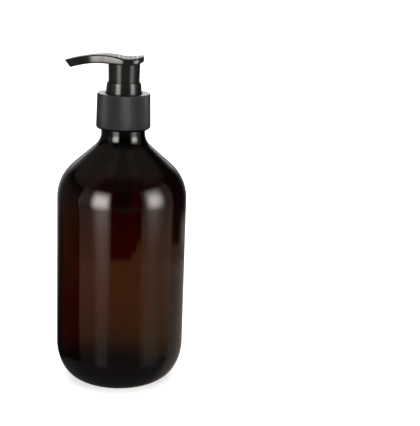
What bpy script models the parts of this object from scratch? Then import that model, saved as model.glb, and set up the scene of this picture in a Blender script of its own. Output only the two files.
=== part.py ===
"""Pump oil bottle: an amber plastic bottle of 500 ml with a screw-on lotion pump.

Units are metres and +Z is up. The origin is the centre of the bottle's base, on the bottle's axis,
and the pump's spout points along -X. Every joint's axis is the bottle's axis.
"""

import math

import bmesh
import bpy
from mathutils import Vector

# Gaps
TOUCH_GAP = 0.0003
SLIDE_GAP = 0.00015
END_GAP = 0.0004

# Bottle body
BODY_RADIUS = 0.0375
BODY_WALL = 0.0009
BASE_CORNER_HEIGHT = 0.0219
BASE_CORNER_WIDTH = 0.0146
FOOT_WIDTH = 0.0034
PUSH_UP = 0.0026
SHOULDER_START = 0.1098
SHOULDER_ARC = 0.0256
SHOULDER_SLOPE = math.radians(48.5)
NECK_FILLET = 0.010

# Bottle neck and the screw thread between it and the collar
NECK_RADIUS = 0.0126
NECK_BORE = 0.0109
NECK_TOP = 0.1649
NECK_LIP_CHAMFER = 0.0004
THREAD_PITCH = 0.004233
THREAD_TURNS = 1.5
THREAD_TURN_STEPS = 32
NECK_THREAD_CREST = 0.0136
NECK_THREAD_START = 0.1572
COLLAR_THREAD_CREST = 0.01295
THREAD_ROOT_HALF = 0.0011
THREAD_CREST_HALF = 0.0005
THREAD_RUN_OUT = math.radians(40)
THREAD_BURY = 0.0004

# Collar
COLLAR_BOTTOM = 0.15035
COLLAR_TOP = 0.17058
COLLAR_RADIUS_BOTTOM = 0.01558
COLLAR_RADIUS_TOP = 0.0151
COLLAR_CORNER = 0.0016
COLLAR_BORE = 0.0140
COLLAR_PLATE = 0.00153
COLLAR_HOLE = 0.0106
RIB_COUNT = 90
RIB_DEPTH = 0.00025

# Chaplet, the fixed sleeve that guides the head
SLEEVE_TOP = 0.1768
SLEEVE_RADIUS_TOP = 0.00975
SLEEVE_RADIUS_BOTTOM = 0.0102
SLEEVE_BORE = 0.0092
WELL_BORE = 0.0090
WELL_WALL = 0.00065
WELL_FLOOR = 0.1621
WELL_FLOOR_THICKNESS = 0.0010
FLANGE_RADIUS = 0.0129
FLANGE_THICKNESS = 0.0009
GUIDE_TOP = 0.1690
GUIDE_WALL = 0.00105

# Gasket
GASKET_THICKNESS = 0.0012
GASKET_OUTER = 0.0126
GASKET_INNER = 0.0109

# Housing, the pump's cylinder
CUP_WALL = 0.0006
CHAMBER_BORE = 0.0052
CHAMBER_WALL = 0.0010
CHAMBER_BOTTOM = 0.1206
BALL_POCKET_BORE = 0.0027
BALL_POCKET_BOTTOM = 0.1163
INLET_BORE = 0.0013
INLET_SEAT_BOTTOM = 0.1149
TAIL_SOCKET_TOP = 0.1132
TAIL_BOTTOM = 0.1010
TAIL_WALL = 0.0010
VENT_RADIUS = 0.0005
VENT_HEIGHT = 0.1576

# Dip tube
DIP_TUBE_RADIUS = 0.00285
DIP_TUBE_WALL = 0.0008
DIP_TUBE_BEND_START = 0.1000
DIP_TUBE_END = 0.0070
DIP_TUBE_SWEEP = 0.0050
DIP_TUBE_CUT = 0.0023

# Stem, piston rod and piston, drawn with the head up
STROKE = 0.0095
STEM_RADIUS = 0.0028
STEM_BORE = 0.0015
STEM_BOTTOM = 0.1526
STEM_TOP = 0.1860
STEM_SHOULDER_RADIUS = 0.0037
STEM_SHOULDER_BOTTOM = 0.1590
STEM_SHOULDER_TOP = 0.1607
PORT_RADIUS = 0.00035
ROD_FLANGE_RADIUS = 0.0036
ROD_FLANGE_TOP = 0.1522
ROD_FLANGE_THICKNESS = 0.0012
ROD_GUIDE_RADIUS = 0.0024
ROD_BOTTOM = 0.1400
ROD_FLUTE_TOP = 0.1580
ROD_FLUTE_REACH = 0.00125
ROD_FLUTE_HALF = 0.00035
PISTON_BOTTOM = 0.1525
PISTON_HEIGHT = 0.0051
PISTON_LIP = 0.0007
PISTON_WAIST = 0.0042

# Spring, ball cage and inlet ball
SPRING_WIRE = 0.00045
SPRING_RADIUS = 0.0036
SPRING_TURNS = 9
SPRING_DEAD_PITCH = 0.0011
CAGE_THICKNESS = 0.0014
CAGE_RADIUS = 0.0049
CAGE_HOLE = 0.0030
CAGE_TOOTH_TIP = 0.0010
BALL_RADIUS = 0.0020
BALL_CENTRE = 0.1167

# Head: skirt, stem socket, pad and spout
SKIRT_BOTTOM = WELL_FLOOR + STROKE + END_GAP
SKIRT_RADIUS_BOTTOM = 0.00875
SKIRT_RADIUS_TOP = 0.00905
SKIRT_WALL = 0.00075
SKIRT_JOIN = 0.1890
SOCKET_BOTTOM = GUIDE_TOP + STROKE + END_GAP
SOCKET_WALL = 0.0015
HEAD_ROOF = 0.1867
CHANNEL_HEIGHT = 0.1887
CHANNEL_HALF_HIGH = 0.0010
CHANNEL_HALF_WIDE = 0.0015

# Head stations from the spout's tip to the thumb end:
# (x, top, bottom, half width, corner radius, how far the top leans past the bottom)
HEAD_STATIONS = (
    (-0.0317, 0.1885, 0.18455, 0.0025, 0.0006, 0.0015),
    (-0.0270, 0.19015, 0.18555, 0.0028, 0.0007, 0.0004),
    (-0.0200, 0.19155, 0.1869, 0.0033, 0.0008, 0.0),
    (-0.0155, 0.19205, 0.1874, 0.0043, 0.0008, 0.0),
    (-0.0105, 0.1922, 0.1875, 0.0063, 0.0008, 0.0),
    (-0.0060, 0.19185, 0.1873, 0.0080, 0.0009, 0.0),
    (-0.0025, 0.1911, 0.1872, 0.0092, 0.0009, 0.0),
    (0.0005, 0.19055, 0.1871, 0.0098, 0.0010, 0.0),
    (0.0040, 0.1905, 0.1871, 0.0095, 0.0010, 0.0),
    (0.0075, 0.1908, 0.1874, 0.0079, 0.0010, 0.0),
    (0.0097, 0.1915, 0.1883, 0.0058, 0.0009, 0.0),
    (0.0106, 0.1919, 0.1888, 0.0046, 0.0008, 0.0),
)
SPOUT_SLICES = 20
HEAD_CORNER_STEPS = 3
HEAD_END_ROUND = 0.0004
HEAD_END_SHRINK = 0.8

# Grip ridges across the thumb pad
RIDGE_FIRST = -0.0052
RIDGE_COUNT = 6
RIDGE_PITCH = 0.00245
RIDGE_HEIGHT = 0.0003
RIDGE_SHAPE = ((0.0, 0.0), (0.25, 1.0), (0.55, 1.0), (0.8, 0.0))
RIDGE_RIM = 0.0003

# Oil channel past the spout's tip, and where it levels out from the stem
CHANNEL_OVERRUN = 0.003
CHANNEL_BEND = 0.010

# Segments round each turned piece
BODY_SEGMENTS = 40
COLLAR_SEGMENTS = 48
PUMP_SEGMENTS = 32
SMALL_SEGMENTS = 24


# ---------------------------------------------------------------- helpers


def remove_everything():
    for item in list(bpy.data.objects):
        bpy.data.objects.remove(item, do_unlink=True)


def plastic(name, colour, roughness, metallic=0.0, transmission=0.0):
    material = bpy.data.materials.new(name)
    material.use_nodes = True
    shader = material.node_tree.nodes["Principled BSDF"]
    shader.inputs["Base Color"].default_value = (*colour, 1.0)
    shader.inputs["Roughness"].default_value = roughness
    shader.inputs["Metallic"].default_value = metallic
    shader.inputs["Transmission Weight"].default_value = transmission
    return material


def add_object(name, mesh_builder, smooth_angle=math.radians(35)):
    """Put a bmesh into the scene as a named object with outward faces."""
    bmesh.ops.recalc_face_normals(mesh_builder, faces=mesh_builder.faces)
    mesh = bpy.data.meshes.new(name)
    mesh_builder.to_mesh(mesh)
    mesh_builder.free()
    mesh.shade_smooth()
    mesh.set_sharp_from_angle(angle=smooth_angle)
    item = bpy.data.objects.new(name, mesh)
    bpy.context.scene.collection.objects.link(item)
    return item


def ring(builder, points):
    return [builder.verts.new(point) for point in points]


def bridge(builder, first, second):
    """Quads between two closed rings, or a fan where one of them is a single point."""
    count = max(len(first), len(second))
    for i in range(count):
        j = (i + 1) % count
        if len(first) == 1:
            builder.faces.new((first[0], second[j], second[i]))
        elif len(second) == 1:
            builder.faces.new((first[i], first[j], second[0]))
        else:
            builder.faces.new((first[i], first[j], second[j], second[i]))


def turned(name, outline, segments, loop=True):
    """Turn an outline of (radius, z) about the axis. A loop closes on itself; otherwise
    the outline starts and ends on the axis."""
    builder = bmesh.new()
    rings = []
    for radius, z in outline:
        if radius == 0.0:
            rings.append(ring(builder, [(0.0, 0.0, z)]))
            continue
        angles = [math.tau * i / segments for i in range(segments)]
        rings.append(ring(builder, [(radius * math.cos(a), radius * math.sin(a), z) for a in angles]))
    for lower, upper in zip(rings, rings[1:]):
        bridge(builder, lower, upper)
    if loop:
        bridge(builder, rings[-1], rings[0])
    return add_object(name, builder)


def swept(name, rings_of_points, hollow=False):
    """Skin a row of closed rings. Solid sweeps get flat caps; a hollow one returns on itself."""
    builder = bmesh.new()
    rings = [ring(builder, points) for points in rings_of_points]
    for first, second in zip(rings, rings[1:]):
        bridge(builder, first, second)
    if hollow:
        bridge(builder, rings[-1], rings[0])
    else:
        builder.faces.new(rings[0])
        builder.faces.new(rings[-1])
    return add_object(name, builder)


def arc(centre, radii, start, end, steps):
    """Points of an elliptic arc from one angle to another, both ends included."""
    angles = [start + (end - start) * i / steps for i in range(steps + 1)]
    return [(centre[0] + radii[0] * math.cos(a), centre[1] + radii[1] * math.sin(a)) for a in angles]


def hide_tool(item):
    item.hide_render = True
    item.display_type = "WIRE"


def combine(item, tool, operation):
    """Leave a Boolean on an object, and keep the tool out of sight."""
    hide_tool(tool)
    modifier = item.modifiers.new(f"{operation.lower()}_{tool.name}", "BOOLEAN")
    modifier.operation = operation
    modifier.object = tool
    modifier.solver = "EXACT"


def joint_empty(name, z, parent=None):
    empty = bpy.data.objects.new(name, None)
    empty.empty_display_size = 0.01
    bpy.context.scene.collection.objects.link(empty)
    empty.location = (0.0, 0.0, z)
    attach(empty, parent)
    return empty


def attach(item, parent):
    """Parent an object and leave it where it stands."""
    if parent is None:
        return
    bpy.context.view_layer.update()
    item.parent = parent
    item.matrix_parent_inverse = parent.matrix_world.inverted()


def finish_piece(item, material, parent):
    item.data.materials.append(material)
    attach(item, parent)


# ---------------------------------------------------------------- bottle


def base_outline(inset):
    """From the axis out over the push-up, the flat foot ring and the rounded corner."""
    foot_outer = BODY_RADIUS - BASE_CORNER_WIDTH
    foot_inner = foot_outer - FOOT_WIDTH
    dome_steps = 4
    radii = [foot_inner * i / dome_steps for i in range(dome_steps + 1)]
    dome = [(r, inset + PUSH_UP * (1.0 - (r / foot_inner) ** 2)) for r in radii]
    corner = arc(
        (foot_outer, BASE_CORNER_HEIGHT),
        (BASE_CORNER_WIDTH - inset, BASE_CORNER_HEIGHT - inset),
        -math.pi / 2,
        0.0,
        8,
    )
    return dome + corner


def shoulder_outline(inset, neck_radius):
    """The convex shoulder, its cone, and the concave fillet into the neck."""
    shoulder = arc(
        (BODY_RADIUS - SHOULDER_ARC, SHOULDER_START),
        (SHOULDER_ARC - inset, SHOULDER_ARC - inset),
        0.0,
        SHOULDER_SLOPE,
        5,
    )
    fillet = NECK_FILLET + inset
    cone_top_radius = neck_radius + fillet * (1.0 - math.cos(SHOULDER_SLOPE))
    cone_rise = (shoulder[-1][0] - cone_top_radius) / math.tan(SHOULDER_SLOPE)
    fillet_top = shoulder[-1][1] + cone_rise + fillet * math.sin(SHOULDER_SLOPE)
    blend = arc(
        (neck_radius + fillet, fillet_top),
        (fillet, fillet),
        math.pi + SHOULDER_SLOPE,
        math.pi,
        4,
    )
    return shoulder + blend


def helical_ridge(name, wall, crest, start_height, direction):
    """A screw thread's ridge, buried a little in its wall, running out at both ends.
    direction is +1 on an outside wall and -1 in a bore."""
    root = wall - direction * THREAD_BURY
    sunk = wall - direction * THREAD_BURY / 2
    total = math.tau * THREAD_TURNS
    steps = round(THREAD_TURNS * THREAD_TURN_STEPS)
    rings = []
    for i in range(steps + 1):
        angle = total * i / steps
        fade = min(1.0, angle / THREAD_RUN_OUT, (total - angle) / THREAD_RUN_OUT)
        tip = sunk + (crest - sunk) * fade
        z = start_height + THREAD_PITCH * angle / math.tau
        section = (
            (root, z - THREAD_ROOT_HALF),
            (tip, z - THREAD_CREST_HALF),
            (tip, z + THREAD_CREST_HALF),
            (root, z + THREAD_ROOT_HALF),
        )
        rings.append([(r * math.cos(angle), r * math.sin(angle), h) for r, h in section])
    return swept(name, rings)


def bottle():
    chamfer = NECK_LIP_CHAMFER
    outside = base_outline(0.0) + shoulder_outline(0.0, NECK_RADIUS)
    lip = [
        (NECK_RADIUS, NECK_TOP - chamfer),
        (NECK_RADIUS - chamfer, NECK_TOP),
        (NECK_BORE, NECK_TOP),
    ]
    inside = base_outline(BODY_WALL) + shoulder_outline(BODY_WALL, NECK_BORE)
    item = turned("bottle", outside + lip + inside[::-1], BODY_SEGMENTS, loop=False)
    ridge = helical_ridge(
        "neck_thread_tool", NECK_RADIUS, NECK_THREAD_CREST, NECK_THREAD_START, 1
    )
    combine(item, ridge, "UNION")
    finish_piece(item, plastic("amber_plastic", (0.06, 0.014, 0.003), 0.05, 0.0, 0.9), None)


# ---------------------------------------------------------------- collar


def ribbed_blank():
    """The collar's outside as a solid plug with fine upright ribs."""
    corner = arc(
        (COLLAR_RADIUS_BOTTOM - COLLAR_CORNER, COLLAR_BOTTOM + COLLAR_CORNER),
        (COLLAR_CORNER, COLLAR_CORNER),
        -math.pi / 2,
        0.0,
        2,
    )
    top_edge = RIB_DEPTH + TOUCH_GAP
    smooth_rows = [*corner[:-1], (COLLAR_RADIUS_TOP - top_edge, COLLAR_TOP)]
    ribbed_rows = [corner[-1], (COLLAR_RADIUS_TOP, COLLAR_TOP - top_edge)]
    rows = [*corner[:-1], *ribbed_rows, smooth_rows[-1]]
    builder = bmesh.new()
    rings = []
    for row in rows:
        depth = RIB_DEPTH if row in ribbed_rows else 0.0
        points = []
        for i in range(RIB_COUNT * 2):
            angle = math.pi * i / RIB_COUNT
            radius = row[0] - depth * (i % 2)
            points.append((radius * math.cos(angle), radius * math.sin(angle), row[1]))
        rings.append(ring(builder, points))
    for lower, upper in zip(rings, rings[1:]):
        bridge(builder, lower, upper)
    builder.faces.new(rings[0])
    builder.faces.new(rings[-1])
    return add_object("collar", builder)


def collar_bore_tool():
    below = COLLAR_BOTTOM - COLLAR_CORNER
    above = COLLAR_TOP + COLLAR_CORNER
    under_plate = COLLAR_TOP - COLLAR_PLATE
    outline = [
        (0.0, below),
        (COLLAR_BORE, below),
        (COLLAR_BORE, under_plate),
        (COLLAR_HOLE, under_plate),
        (COLLAR_HOLE, above),
        (0.0, above),
    ]
    return turned("collar_bore_tool", outline, COLLAR_SEGMENTS, loop=False)


def collar(parent):
    item = ribbed_blank()
    combine(item, collar_bore_tool(), "DIFFERENCE")
    ridge = helical_ridge(
        "collar_thread_tool",
        COLLAR_BORE,
        COLLAR_THREAD_CREST,
        NECK_THREAD_START - THREAD_PITCH / 2,
        -1,
    )
    combine(item, ridge, "UNION")
    finish_piece(item, plastic("collar_plastic", (0.035, 0.035, 0.037), 0.55), parent)


# ---------------------------------------------------------------- fixed pump pieces


def chaplet(parent):
    """Sleeve, flange, and the annular well with the stem's guide in its middle."""
    flange_top = COLLAR_TOP - COLLAR_PLATE - TOUCH_GAP
    flange_bottom = flange_top - FLANGE_THICKNESS
    well_outer = WELL_BORE + WELL_WALL
    guide_bore = STEM_RADIUS + TOUCH_GAP
    guide_outer = guide_bore + GUIDE_WALL
    underside = WELL_FLOOR - WELL_FLOOR_THICKNESS
    outline = [
        (SLEEVE_BORE, SLEEVE_TOP),
        (SLEEVE_RADIUS_TOP, SLEEVE_TOP),
        (SLEEVE_RADIUS_BOTTOM, COLLAR_TOP),
        (SLEEVE_RADIUS_BOTTOM, flange_top),
        (FLANGE_RADIUS, flange_top),
        (FLANGE_RADIUS, flange_bottom),
        (well_outer, flange_bottom),
        (well_outer, underside),
        (guide_bore, underside),
        (guide_bore, GUIDE_TOP),
        (guide_outer, GUIDE_TOP),
        (guide_outer, WELL_FLOOR),
        (WELL_BORE, WELL_FLOOR),
        (WELL_BORE, flange_bottom),
        (SLEEVE_BORE, flange_top),
    ]
    item = turned("chaplet", outline, PUMP_SEGMENTS)
    finish_piece(item, plastic("chaplet_plastic", (0.012, 0.012, 0.013), 0.18), parent)


def gasket(parent):
    bottom = NECK_TOP + TOUCH_GAP
    top = bottom + GASKET_THICKNESS
    outline = [(GASKET_INNER, bottom), (GASKET_OUTER, bottom), (GASKET_OUTER, top), (GASKET_INNER, top)]
    item = turned("neck_gasket", outline, PUMP_SEGMENTS)
    finish_piece(item, plastic("gasket_foam", (0.75, 0.75, 0.72), 0.7), parent)


def housing_outline():
    """Cup, chamber, ball pocket and tube socket, down the inside and back up the outside."""
    flange_bottom = NECK_TOP + GASKET_THICKNESS + 2 * TOUCH_GAP
    flange_top = flange_bottom + FLANGE_THICKNESS
    cup_bore = WELL_BORE + WELL_WALL + TOUCH_GAP
    cup_outer = cup_bore + CUP_WALL
    cup_floor = WELL_FLOOR - WELL_FLOOR_THICKNESS - TOUCH_GAP
    chamber_outer = CHAMBER_BORE + CHAMBER_WALL
    socket_bore = DIP_TUBE_RADIUS + TOUCH_GAP
    tail_outer = socket_bore + TAIL_WALL
    taper = chamber_outer - tail_outer
    return [
        (cup_bore, flange_top),
        (cup_bore, cup_floor),
        (CHAMBER_BORE, cup_floor),
        (CHAMBER_BORE, CHAMBER_BOTTOM),
        (BALL_POCKET_BORE, CHAMBER_BOTTOM),
        (BALL_POCKET_BORE, BALL_POCKET_BOTTOM),
        (INLET_BORE, INLET_SEAT_BOTTOM),
        (INLET_BORE, TAIL_SOCKET_TOP),
        (socket_bore, TAIL_SOCKET_TOP),
        (socket_bore, TAIL_BOTTOM),
        (tail_outer, TAIL_BOTTOM),
        (tail_outer, INLET_SEAT_BOTTOM),
        (chamber_outer, INLET_SEAT_BOTTOM + taper),
        (chamber_outer, cup_floor - 2 * CUP_WALL),
        (cup_outer, cup_floor - CUP_WALL),
        (cup_outer, flange_bottom),
        (FLANGE_RADIUS, flange_bottom),
        (FLANGE_RADIUS, flange_top),
    ]


def side_hole_tool(name, radius, height, reach_from, reach_to):
    """A small round pin along Y that cuts a hole through a wall."""
    rings = []
    for y in (reach_from, reach_to):
        angles = [math.tau * i / 8 for i in range(8)]
        rings.append([(radius * math.cos(a), y, height + radius * math.sin(a)) for a in angles])
    return swept(name, rings)


def housing(parent):
    item = turned("housing", housing_outline(), PUMP_SEGMENTS)
    outside = -(CHAMBER_BORE + 2 * CHAMBER_WALL)
    vent = side_hole_tool("vent_tool", VENT_RADIUS, VENT_HEIGHT, outside, -CHAMBER_BORE / 2)
    combine(item, vent, "DIFFERENCE")
    finish_piece(item, plastic("housing_plastic", (0.8, 0.8, 0.78), 0.35), parent)


def dip_tube_point(z):
    """The tube hangs straight below its socket, then sweeps gently to one side."""
    drop = max(0.0, DIP_TUBE_BEND_START - z) / (DIP_TUBE_BEND_START - DIP_TUBE_END)
    return Vector((DIP_TUBE_SWEEP * drop * drop, 0.0, z))


def dip_tube(parent):
    top = TAIL_SOCKET_TOP - TOUCH_GAP
    steps = 12
    fall = DIP_TUBE_END - DIP_TUBE_BEND_START
    heights = [top] + [DIP_TUBE_BEND_START + fall * i / steps for i in range(steps + 1)]
    sides = 14

    def rings_at(radius, heights_in_order):
        rings = []
        for z in heights_in_order:
            centre = dip_tube_point(z)
            cut = DIP_TUBE_CUT if z == heights[-1] else 0.0
            points = []
            for i in range(sides):
                angle = math.tau * i / sides
                offset = radius * math.cos(angle)
                tilt = cut * offset / DIP_TUBE_RADIUS
                points.append((centre.x + offset, radius * math.sin(angle), z + tilt))
            rings.append(points)
        return rings

    outside = rings_at(DIP_TUBE_RADIUS, heights)
    inside = rings_at(DIP_TUBE_RADIUS - DIP_TUBE_WALL, heights[::-1])
    item = swept("dip_tube", outside + inside, hollow=True)
    finish_piece(item, plastic("tube_plastic", (0.85, 0.85, 0.83), 0.25, 0.0, 0.5), parent)


def ball_cage(parent):
    """A ring with three inward teeth that keep the ball in its pocket."""
    bottom = CHAMBER_BOTTOM + TOUCH_GAP
    top = bottom + CAGE_THICKNESS
    count = 36
    tooth_every = count // 3
    outer, inner = [], []
    for i in range(count):
        angle = math.tau * i / count
        in_tooth = i % tooth_every < tooth_every // 3
        hole = CAGE_TOOTH_TIP if in_tooth else CAGE_HOLE
        outer.append((CAGE_RADIUS * math.cos(angle), CAGE_RADIUS * math.sin(angle)))
        inner.append((hole * math.cos(angle), hole * math.sin(angle)))
    flat_rings = ((inner, bottom), (outer, bottom), (outer, top), (inner, top))
    rings = [[(x, y, z) for x, y in points] for points, z in flat_rings]
    item = swept("ball_cage", rings, hollow=True)
    finish_piece(item, plastic("cage_plastic", (0.8, 0.8, 0.78), 0.4), parent)


# ---------------------------------------------------------------- moving pump pieces


def inlet_ball(parent):
    builder = bmesh.new()
    bmesh.ops.create_uvsphere(builder, u_segments=16, v_segments=10, radius=BALL_RADIUS)
    bmesh.ops.translate(builder, verts=builder.verts, vec=(0.0, 0.0, BALL_CENTRE))
    item = add_object("inlet_ball", builder)
    finish_piece(item, plastic("ball_steel", (0.6, 0.6, 0.62), 0.15, 1.0), parent)


def spring_height(turn, bottom, top):
    """Height along the coil: one dead turn at each end, even pitch between."""
    live_turns = SPRING_TURNS - 2
    live_pitch = (top - bottom - 2 * SPRING_DEAD_PITCH) / live_turns
    if turn <= 1:
        return bottom + SPRING_DEAD_PITCH * turn
    if turn >= SPRING_TURNS - 1:
        return top - SPRING_DEAD_PITCH * (SPRING_TURNS - turn)
    return bottom + SPRING_DEAD_PITCH + live_pitch * (turn - 1)


def spring(parent):
    bottom = CHAMBER_BOTTOM + CAGE_THICKNESS + 2 * TOUCH_GAP + SPRING_WIRE
    top = ROD_FLANGE_TOP - ROD_FLANGE_THICKNESS - TOUCH_GAP - SPRING_WIRE
    per_turn, sides = 12, 5
    rings = []
    for i in range(SPRING_TURNS * per_turn + 1):
        angle = math.tau * i / per_turn
        z = spring_height(i / per_turn, bottom, top)
        points = []
        for k in range(sides):
            round_wire = math.tau * k / sides
            radius = SPRING_RADIUS + SPRING_WIRE * math.cos(round_wire)
            height = z + SPRING_WIRE * math.sin(round_wire)
            points.append((radius * math.cos(angle), radius * math.sin(angle), height))
        rings.append(points)
    item = swept("spring", rings)
    finish_piece(item, plastic("spring_steel", (0.55, 0.55, 0.57), 0.25, 1.0), parent)


def stem(parent):
    outline = [
        (STEM_BORE, STEM_BOTTOM),
        (STEM_RADIUS, STEM_BOTTOM),
        (STEM_RADIUS, STEM_SHOULDER_BOTTOM),
        (STEM_SHOULDER_RADIUS, STEM_SHOULDER_BOTTOM),
        (STEM_SHOULDER_RADIUS, STEM_SHOULDER_TOP),
        (STEM_RADIUS, STEM_SHOULDER_TOP),
        (STEM_RADIUS, STEM_TOP),
        (STEM_BORE, STEM_TOP),
    ]
    item = turned("stem", outline, SMALL_SEGMENTS)
    port_height = STEM_BOTTOM + 2 * PORT_RADIUS
    port = side_hole_tool("port_tool", PORT_RADIUS, port_height, -2 * STEM_RADIUS, 2 * STEM_RADIUS)
    combine(item, port, "DIFFERENCE")
    finish_piece(item, plastic("stem_plastic", (0.8, 0.8, 0.78), 0.35), parent)


def flute_tool():
    """The cross-shaped spigot that holds the rod in the stem and lets oil past."""
    reach, half = ROD_FLUTE_REACH, ROD_FLUTE_HALF
    corner = [(reach, -half), (reach, half), (half, half)]
    outline = []
    for quarter in range(4):
        c, s = math.cos(math.pi / 2 * quarter), math.sin(math.pi / 2 * quarter)
        outline += [(x * c - y * s, x * s + y * c) for x, y in corner]
    levels = (ROD_FLANGE_TOP - ROD_FLANGE_THICKNESS / 2, ROD_FLUTE_TOP)
    return swept("flute_tool", [[(x, y, z) for x, y in outline] for z in levels])


def piston_rod(parent):
    flange_bottom = ROD_FLANGE_TOP - ROD_FLANGE_THICKNESS
    outline = [
        (0.0, ROD_BOTTOM),
        (ROD_GUIDE_RADIUS / 2, ROD_BOTTOM),
        (ROD_GUIDE_RADIUS, ROD_BOTTOM + ROD_GUIDE_RADIUS),
        (ROD_GUIDE_RADIUS, flange_bottom),
        (SPRING_RADIUS + SPRING_WIRE, flange_bottom),
        (ROD_FLANGE_RADIUS, ROD_FLANGE_TOP),
        (0.0, ROD_FLANGE_TOP),
    ]
    item = turned("piston_rod", outline, SMALL_SEGMENTS, loop=False)
    combine(item, flute_tool(), "UNION")
    finish_piece(item, plastic("rod_plastic", (0.8, 0.8, 0.78), 0.4), parent)


def piston(parent):
    """Two wiping lips joined by a waist, bored to slide on the stem."""
    bore = STEM_RADIUS + TOUCH_GAP
    lip_radius = CHAMBER_BORE - SLIDE_GAP
    top = PISTON_BOTTOM + PISTON_HEIGHT
    outline = [
        (bore, PISTON_BOTTOM),
        (lip_radius, PISTON_BOTTOM),
        (lip_radius, PISTON_BOTTOM + PISTON_LIP),
        (PISTON_WAIST, PISTON_BOTTOM + 2 * PISTON_LIP),
        (PISTON_WAIST, top - 2 * PISTON_LIP),
        (lip_radius, top - PISTON_LIP),
        (lip_radius, top),
        (bore, top),
    ]
    item = turned("piston", outline, PUMP_SEGMENTS)
    finish_piece(item, plastic("piston_plastic", (0.85, 0.85, 0.85), 0.5), parent)


# ---------------------------------------------------------------- head


def station_at(x):
    """Smoothly interpolated head station: Hermite curves with slopes from the neighbours."""
    rows = HEAD_STATIONS
    last = len(rows) - 1
    i = max(k for k in range(last) if rows[k][0] <= x or k == 0)
    span = rows[i + 1][0] - rows[i][0]
    t = (x - rows[i][0]) / span

    def slope(k, column):
        before, after = max(0, k - 1), min(last, k + 1)
        return (rows[after][column] - rows[before][column]) / (rows[after][0] - rows[before][0])

    values = []
    for column in range(1, 6):
        start, end = rows[i][column], rows[i + 1][column]
        lean_in, lean_out = slope(i, column) * span, slope(i + 1, column) * span
        values.append(
            start * (1 + 2 * t) * (1 - t) ** 2
            + lean_in * t * (1 - t) ** 2
            + end * t * t * (3 - 2 * t)
            - lean_out * t * t * (1 - t)
        )
    return values


def head_section(x, ridge=0.0):
    """A rounded box across the head at x, leaning forward at the spout's cut end. Between its
    two top corners come two points that a grip ridge lifts."""
    top, bottom, half_wide, corner, lean = station_at(x)
    half_high = (top - bottom) / 2
    middle = (top + bottom) / 2
    ridge_half = half_wide - corner - RIDGE_RIM
    ridge_top = half_high + RIDGE_HEIGHT * ridge
    section = []
    for side_y, side_z, start in ((1, 1, 0.0), (-1, 1, 0.5), (-1, -1, 1.0), (1, -1, 1.5)):
        for step in range(HEAD_CORNER_STEPS + 1):
            angle = math.pi * (start + 0.5 * step / HEAD_CORNER_STEPS)
            y = side_y * (half_wide - corner) + corner * math.cos(angle)
            section.append((y, side_z * (half_high - corner) + corner * math.sin(angle)))
        if side_y == side_z == 1:
            section += [(ridge_half, ridge_top), (-ridge_half, ridge_top)]
    return [(x - lean * z / half_high, y, middle + z) for y, z in section]


def head_blank():
    first, last = HEAD_STATIONS[0][0], HEAD_STATIONS[-1][0]
    reach = RIDGE_FIRST - first
    places = [(first + reach * i / SPOUT_SLICES, 0.0) for i in range(SPOUT_SLICES)]
    for ridge in range(RIDGE_COUNT):
        start = RIDGE_FIRST + RIDGE_PITCH * ridge
        places += [(start + RIDGE_PITCH * along, up) for along, up in RIDGE_SHAPE]
    places += [(RIDGE_FIRST + RIDGE_PITCH * RIDGE_COUNT, 0.0), (last, 0.0)]
    end = head_section(last)
    middle_z = sum(point[2] for point in end) / len(end)
    shrink = HEAD_END_SHRINK
    cap = [(last + HEAD_END_ROUND, y * shrink, middle_z + (z - middle_z) * shrink) for _, y, z in end]
    return swept("head", [head_section(x, ridge) for x, ridge in places] + [cap])


def skirt_tool():
    outline = [
        (0.0, SKIRT_BOTTOM),
        (SKIRT_RADIUS_BOTTOM, SKIRT_BOTTOM),
        (SKIRT_RADIUS_TOP, SKIRT_JOIN),
        (0.0, SKIRT_JOIN),
    ]
    return turned("skirt_tool", outline, PUMP_SEGMENTS, loop=False)


def cavity_tool():
    """The space under the head: the skirt's inside, round the socket, and the stem's bore."""
    below = SKIRT_BOTTOM - SKIRT_WALL
    skirt_bore = SKIRT_RADIUS_BOTTOM - SKIRT_WALL
    socket_bore = STEM_RADIUS + TOUCH_GAP
    socket_outer = socket_bore + SOCKET_WALL
    socket_top = STEM_TOP + TOUCH_GAP
    outline = [
        (0.0, below),
        (skirt_bore, below),
        (skirt_bore, HEAD_ROOF),
        (socket_outer, HEAD_ROOF),
        (socket_outer, SOCKET_BOTTOM),
        (socket_bore, SOCKET_BOTTOM),
        (socket_bore, socket_top),
        (STEM_BORE, socket_top),
        (STEM_BORE, CHANNEL_HEIGHT),
        (0.0, CHANNEL_HEIGHT),
    ]
    return turned("cavity_tool", outline, PUMP_SEGMENTS, loop=False)


def channel_tool():
    """The oil's way along the spout, halfway between its top and bottom."""
    tip = HEAD_STATIONS[0][0]
    past_tip = tip - CHANNEL_OVERRUN
    steps, sides = 14, 12
    rings = []
    for i in range(steps + 1):
        x = past_tip * i / steps
        top, bottom = station_at(max(x, tip))[:2]
        root = min(1.0, -x / CHANNEL_BEND)
        centre = CHANNEL_HEIGHT * (1 - root) + (top + bottom) / 2 * root
        points = []
        for k in range(sides):
            angle = math.tau * k / sides
            y = CHANNEL_HALF_WIDE * math.cos(angle)
            points.append((x, y, centre + CHANNEL_HALF_HIGH * math.sin(angle)))
        rings.append(points)
    return swept("channel_tool", rings)


def head(parent):
    item = head_blank()
    combine(item, skirt_tool(), "UNION")
    combine(item, cavity_tool(), "DIFFERENCE")
    combine(item, channel_tool(), "DIFFERENCE")
    finish_piece(item, plastic("head_plastic", (0.012, 0.012, 0.013), 0.2), parent)


# ---------------------------------------------------------------- assembly


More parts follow.
